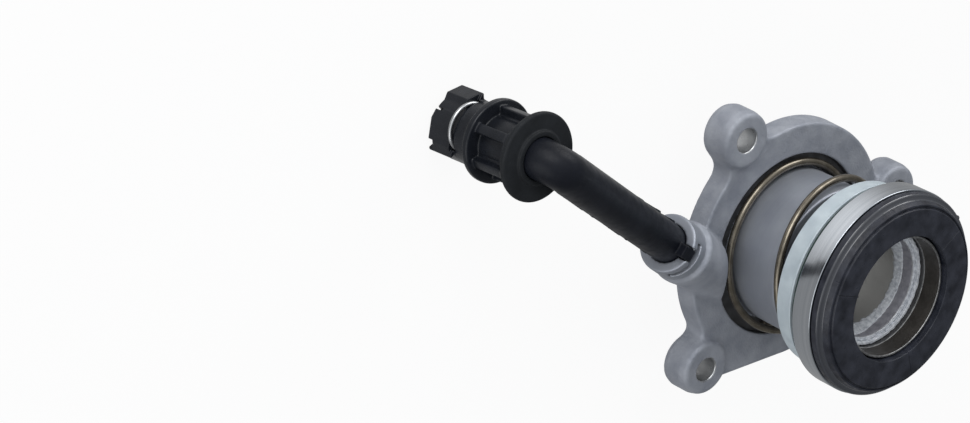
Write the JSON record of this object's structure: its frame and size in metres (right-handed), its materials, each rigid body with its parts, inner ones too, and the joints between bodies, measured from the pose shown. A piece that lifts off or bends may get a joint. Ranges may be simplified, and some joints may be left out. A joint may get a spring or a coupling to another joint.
{
  "type": "concentric slave cylinder",
  "caption": "Hydraulic clutch release unit: a flanged cast cylinder round a central bore, with a spring-loaded release bearing and a side pipe ending in a plug-in connector.",
  "frame": {"origin": "on the cylinder's axis at the flange's mating face", "axes": "+Z along the bore axis from the gearbox towards the clutch; the fluid pipe leaves towards +X"},
  "size_m": [0.1892, 0.1068, 0.0803],
  "materials": {
    "cast_aluminium": "as cast with machined faces",
    "turned_steel": "turned",
    "polished_steel": "ground and polished",
    "dark_steel": "dark hardened steel",
    "zinc_sheet": "pressed sheet, bright zinc plate",
    "spring_steel": "oil-tempered wire",
    "bright_wire": "bright drawn wire",
    "black_plastic": "glass-filled nylon, satin",
    "cage_plastic": "natural nylon",
    "black_rubber": "matt moulded rubber",
    "green_rubber": "moulded nitrile rubber"
  },
  "bodies": {
    "cylinder": {"housing": "cast_aluminium", "guide_sleeve": "turned_steel", "sleeve_seal": "black_rubber", "tube_wiper": "black_rubber", "preload_spring": "spring_steel", "fluid_pipe": "black_plastic", "pipe_seal": "black_rubber", "pipe_clip": "bright_wire", "grommet": "black_rubber", "connector_body": "black_plastic", "socket_seal": "black_rubber"},
    "piston_group": {"piston": "black_plastic", "pressure_seal": "black_rubber", "spring_cup": "zinc_sheet", "seal_plate": "turned_steel", "rear_seal": "green_rubber", "inner_ring": "dark_steel"},
    "ball_set": {"ball_cage": "cage_plastic", "ball_01": "polished_steel", "ball_02": "polished_steel", "ball_03": "polished_steel", "ball_04": "polished_steel", "ball_05": "polished_steel", "ball_06": "polished_steel", "ball_07": "polished_steel", "ball_08": "polished_steel", "ball_09": "polished_steel", "ball_10": "polished_steel", "ball_11": "polished_steel", "ball_12": "polished_steel", "ball_13": "polished_steel", "ball_14": "polished_steel"},
    "bearing_front": {"outer_ring": "polished_steel", "front_seal": "black_rubber", "thrust_ring": "black_plastic"},
    "connector_clip": {"wire_clip": "bright_wire"}
  },
  "joints": [
    {"name": "release_travel", "type": "slide", "parent": "cylinder", "child": "piston_group", "axis": [0, 0, 1], "range_m": [-0.012, 0], "deforming": ["preload_spring"]},
    {"name": "bearing_spin", "type": "hinge", "parent": "piston_group", "child": "bearing_front", "pos_m": [0, 0, 0.0504], "axis": [0, 0, 1], "continuous": true},
    {"name": "ball_orbit", "type": "hinge", "parent": "piston_group", "child": "ball_set", "pos_m": [0, 0, 0.0504], "axis": [0, 0, 1], "continuous": true},
    {"name": "clip_release", "type": "slide", "parent": "cylinder", "child": "connector_clip", "axis": [0.9993, 0, 0.0384], "range_m": [0, 0.0025]}
  ],
  "couplings": [
    {"joint": "ball_orbit", "follows": "bearing_spin", "ratio": 0.45}
  ]
}
